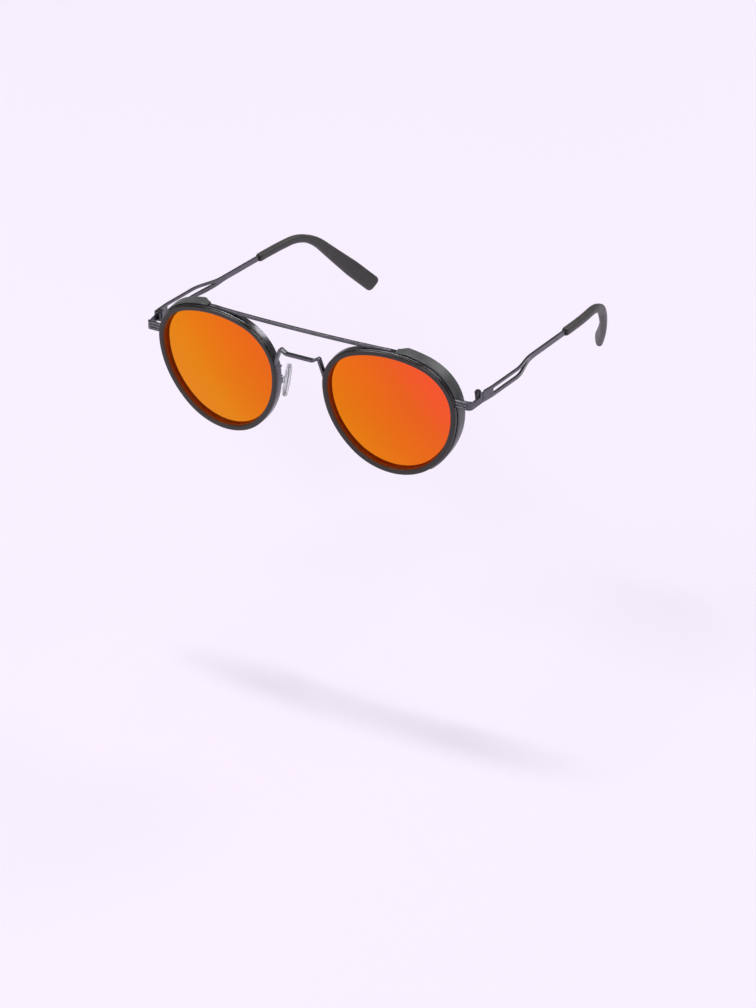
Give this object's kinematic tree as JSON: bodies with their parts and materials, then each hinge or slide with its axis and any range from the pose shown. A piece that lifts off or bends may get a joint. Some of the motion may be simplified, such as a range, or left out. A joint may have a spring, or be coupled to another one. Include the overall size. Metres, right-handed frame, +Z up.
{
  "type": "glacier glasses",
  "caption": "Round double-bridge metal glacier glasses with moulded rims, mirrored lenses, short side shields, split folding temples with ear sleeves and rocking nose pads.",
  "frame": {"origin": "middle of the bottom of the box round the opened glasses, where the rims and the sleeve ends touch the table", "axes": "+X to the wearer's left, -Y the way the wearer looks, +Z up"},
  "size_m": [0.1368, 0.1409, 0.0512],
  "materials": {
    "gunmetal": "satin gunmetal plating",
    "screw_steel": "turned",
    "rim_plastic": "smoky, polished",
    "shield_plastic": "smoky, satin",
    "lens": "orange mirror coat over a brown lens",
    "sleeve_plastic": "dark grey, satin",
    "silicone": "clear silicone",
    "pad_core": "clear, moulded"
  },
  "bodies": {
    "front": {"brow_bar": "gunmetal", "bridge": "gunmetal", "left_front_rim": "rim_plastic", "left_lens": "lens", "left_eyewire": "gunmetal", "left_side_shield": "shield_plastic", "left_end_piece": "gunmetal", "left_hinge_screw": "screw_steel", "left_pad_arm": "gunmetal", "left_pad_box": "gunmetal", "left_pad_screw": "screw_steel", "right_front_rim": "rim_plastic", "right_lens": "lens", "right_eyewire": "gunmetal", "right_side_shield": "shield_plastic", "right_end_piece": "gunmetal", "right_hinge_screw": "screw_steel", "right_pad_arm": "gunmetal", "right_pad_box": "gunmetal", "right_pad_screw": "screw_steel"},
    "left_arm": {"left_temple": "gunmetal", "left_temple_tip": "sleeve_plastic"},
    "right_arm": {"right_temple": "gunmetal", "right_temple_tip": "sleeve_plastic"},
    "left_pad": {"left_pad_insert": "pad_core", "left_nose_pad": "silicone"},
    "right_pad": {"right_pad_insert": "pad_core", "right_nose_pad": "silicone"}
  },
  "joints": [
    {"name": "left_temple_fold", "type": "hinge", "parent": "front", "child": "left_arm", "pos_m": [0.06596, -0.05701, 0.03563], "axis": [0, -0.165, 0.9863], "range_deg": [0, 84]},
    {"name": "right_temple_fold", "type": "hinge", "parent": "front", "child": "right_arm", "pos_m": [-0.06596, -0.05701, 0.03563], "axis": [0, 0.165, -0.9863], "range_deg": [0, 80]},
    {"name": "left_pad_rock", "type": "hinge", "parent": "front", "child": "left_pad", "pos_m": [0.01353, -0.05899, 0.02356], "axis": [-0.5736, -0.8192, 0], "range_deg": [-8, 8]},
    {"name": "right_pad_rock", "type": "hinge", "parent": "front", "child": "right_pad", "pos_m": [-0.01353, -0.05899, 0.02356], "axis": [0.5736, -0.8192, 0], "range_deg": [-8, 8]}
  ]
}
